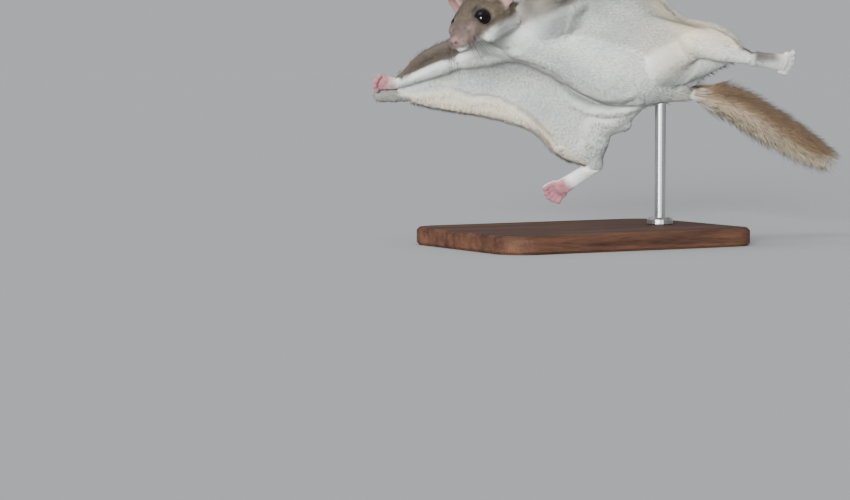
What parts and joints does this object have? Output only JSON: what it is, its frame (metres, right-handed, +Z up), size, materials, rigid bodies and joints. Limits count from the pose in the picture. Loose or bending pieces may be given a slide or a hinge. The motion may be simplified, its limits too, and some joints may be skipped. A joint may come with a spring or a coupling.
{
  "type": "flying squirrel on display stand",
  "caption": "Life-size flying squirrel in a banked glide, limbs and gliding membranes spread, flat bushy tail behind, held over a flat wooden base by one short rod.",
  "frame": {"origin": "middle of the underside of the stand's base", "axes": "+Z up from the floor. The animal heads towards -Y with its tail towards +Y, and its left side is towards +X"},
  "size_m": [0.1419, 0.2166, 0.1286],
  "materials": {
    "fur_belly": "short dense white fur",
    "fur_back": "short dense grey-brown fur",
    "fur_tail": "long soft fur combed to both sides, brown over buff",
    "bare_skin": "thin pink skin",
    "eye": "wet black",
    "stand_wood": "satin varnished walnut",
    "stand_steel": "fine brushed"
  },
  "bodies": {
    "root": {"torso": "fur_belly", "head": "fur_back", "neck": "fur_back", "tail": "fur_tail", "eye_left": "eye", "eye_right": "eye", "ear_left": "bare_skin", "ear_right": "bare_skin", "upper_arm_left": "fur_belly", "upper_arm_right": "fur_belly", "forearm_left": "fur_belly", "forearm_right": "fur_belly", "hand_left": "bare_skin", "hand_right": "bare_skin", "wingtip_left": "fur_back", "wingtip_right": "fur_back", "thigh_left": "fur_belly", "thigh_right": "fur_belly", "shank_left": "fur_belly", "shank_right": "fur_belly", "foot_left": "bare_skin", "foot_right": "bare_skin", "patagium_left": "fur_belly", "patagium_right": "fur_belly", "propatagium_left": "fur_belly", "propatagium_right": "fur_belly", "rear_web_left": "fur_belly", "rear_web_right": "fur_belly", "stand_base": "stand_wood", "stand_rod": "stand_steel"}
  },
  "joints": []
}
